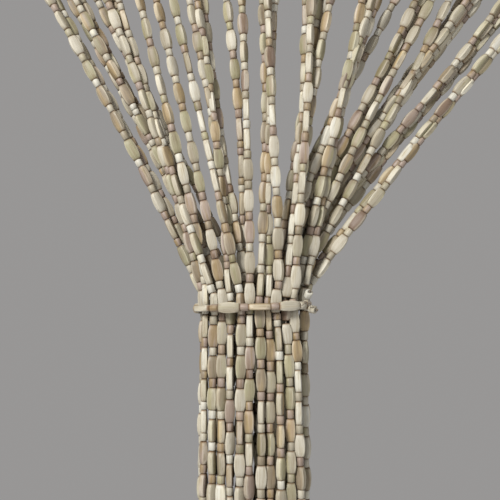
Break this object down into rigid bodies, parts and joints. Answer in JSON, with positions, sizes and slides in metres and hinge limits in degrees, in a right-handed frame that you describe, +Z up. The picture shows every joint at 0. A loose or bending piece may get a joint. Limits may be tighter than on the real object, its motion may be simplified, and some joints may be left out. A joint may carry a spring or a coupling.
{
  "type": "bead curtain",
  "caption": "Wooden bead curtain: strands hang from a lath and a beaded tie gathers them into one bundle.",
  "frame": {"origin": "middle of the lath's top edge, midway through its thickness", "axes": "+Z up, +X along the lath to the viewer's right, -Y towards the viewer"},
  "size_m": [0.9, 0.0632, 1.7996],
  "materials": {
    "bead_wood": "satin",
    "lath_wood": "satin",
    "tie_wood": "satin",
    "thread": "matte"
  },
  "bodies": {
    "root": {"curtain": "bead_wood", "tie": "tie_wood"}
  },
  "joints": []
}
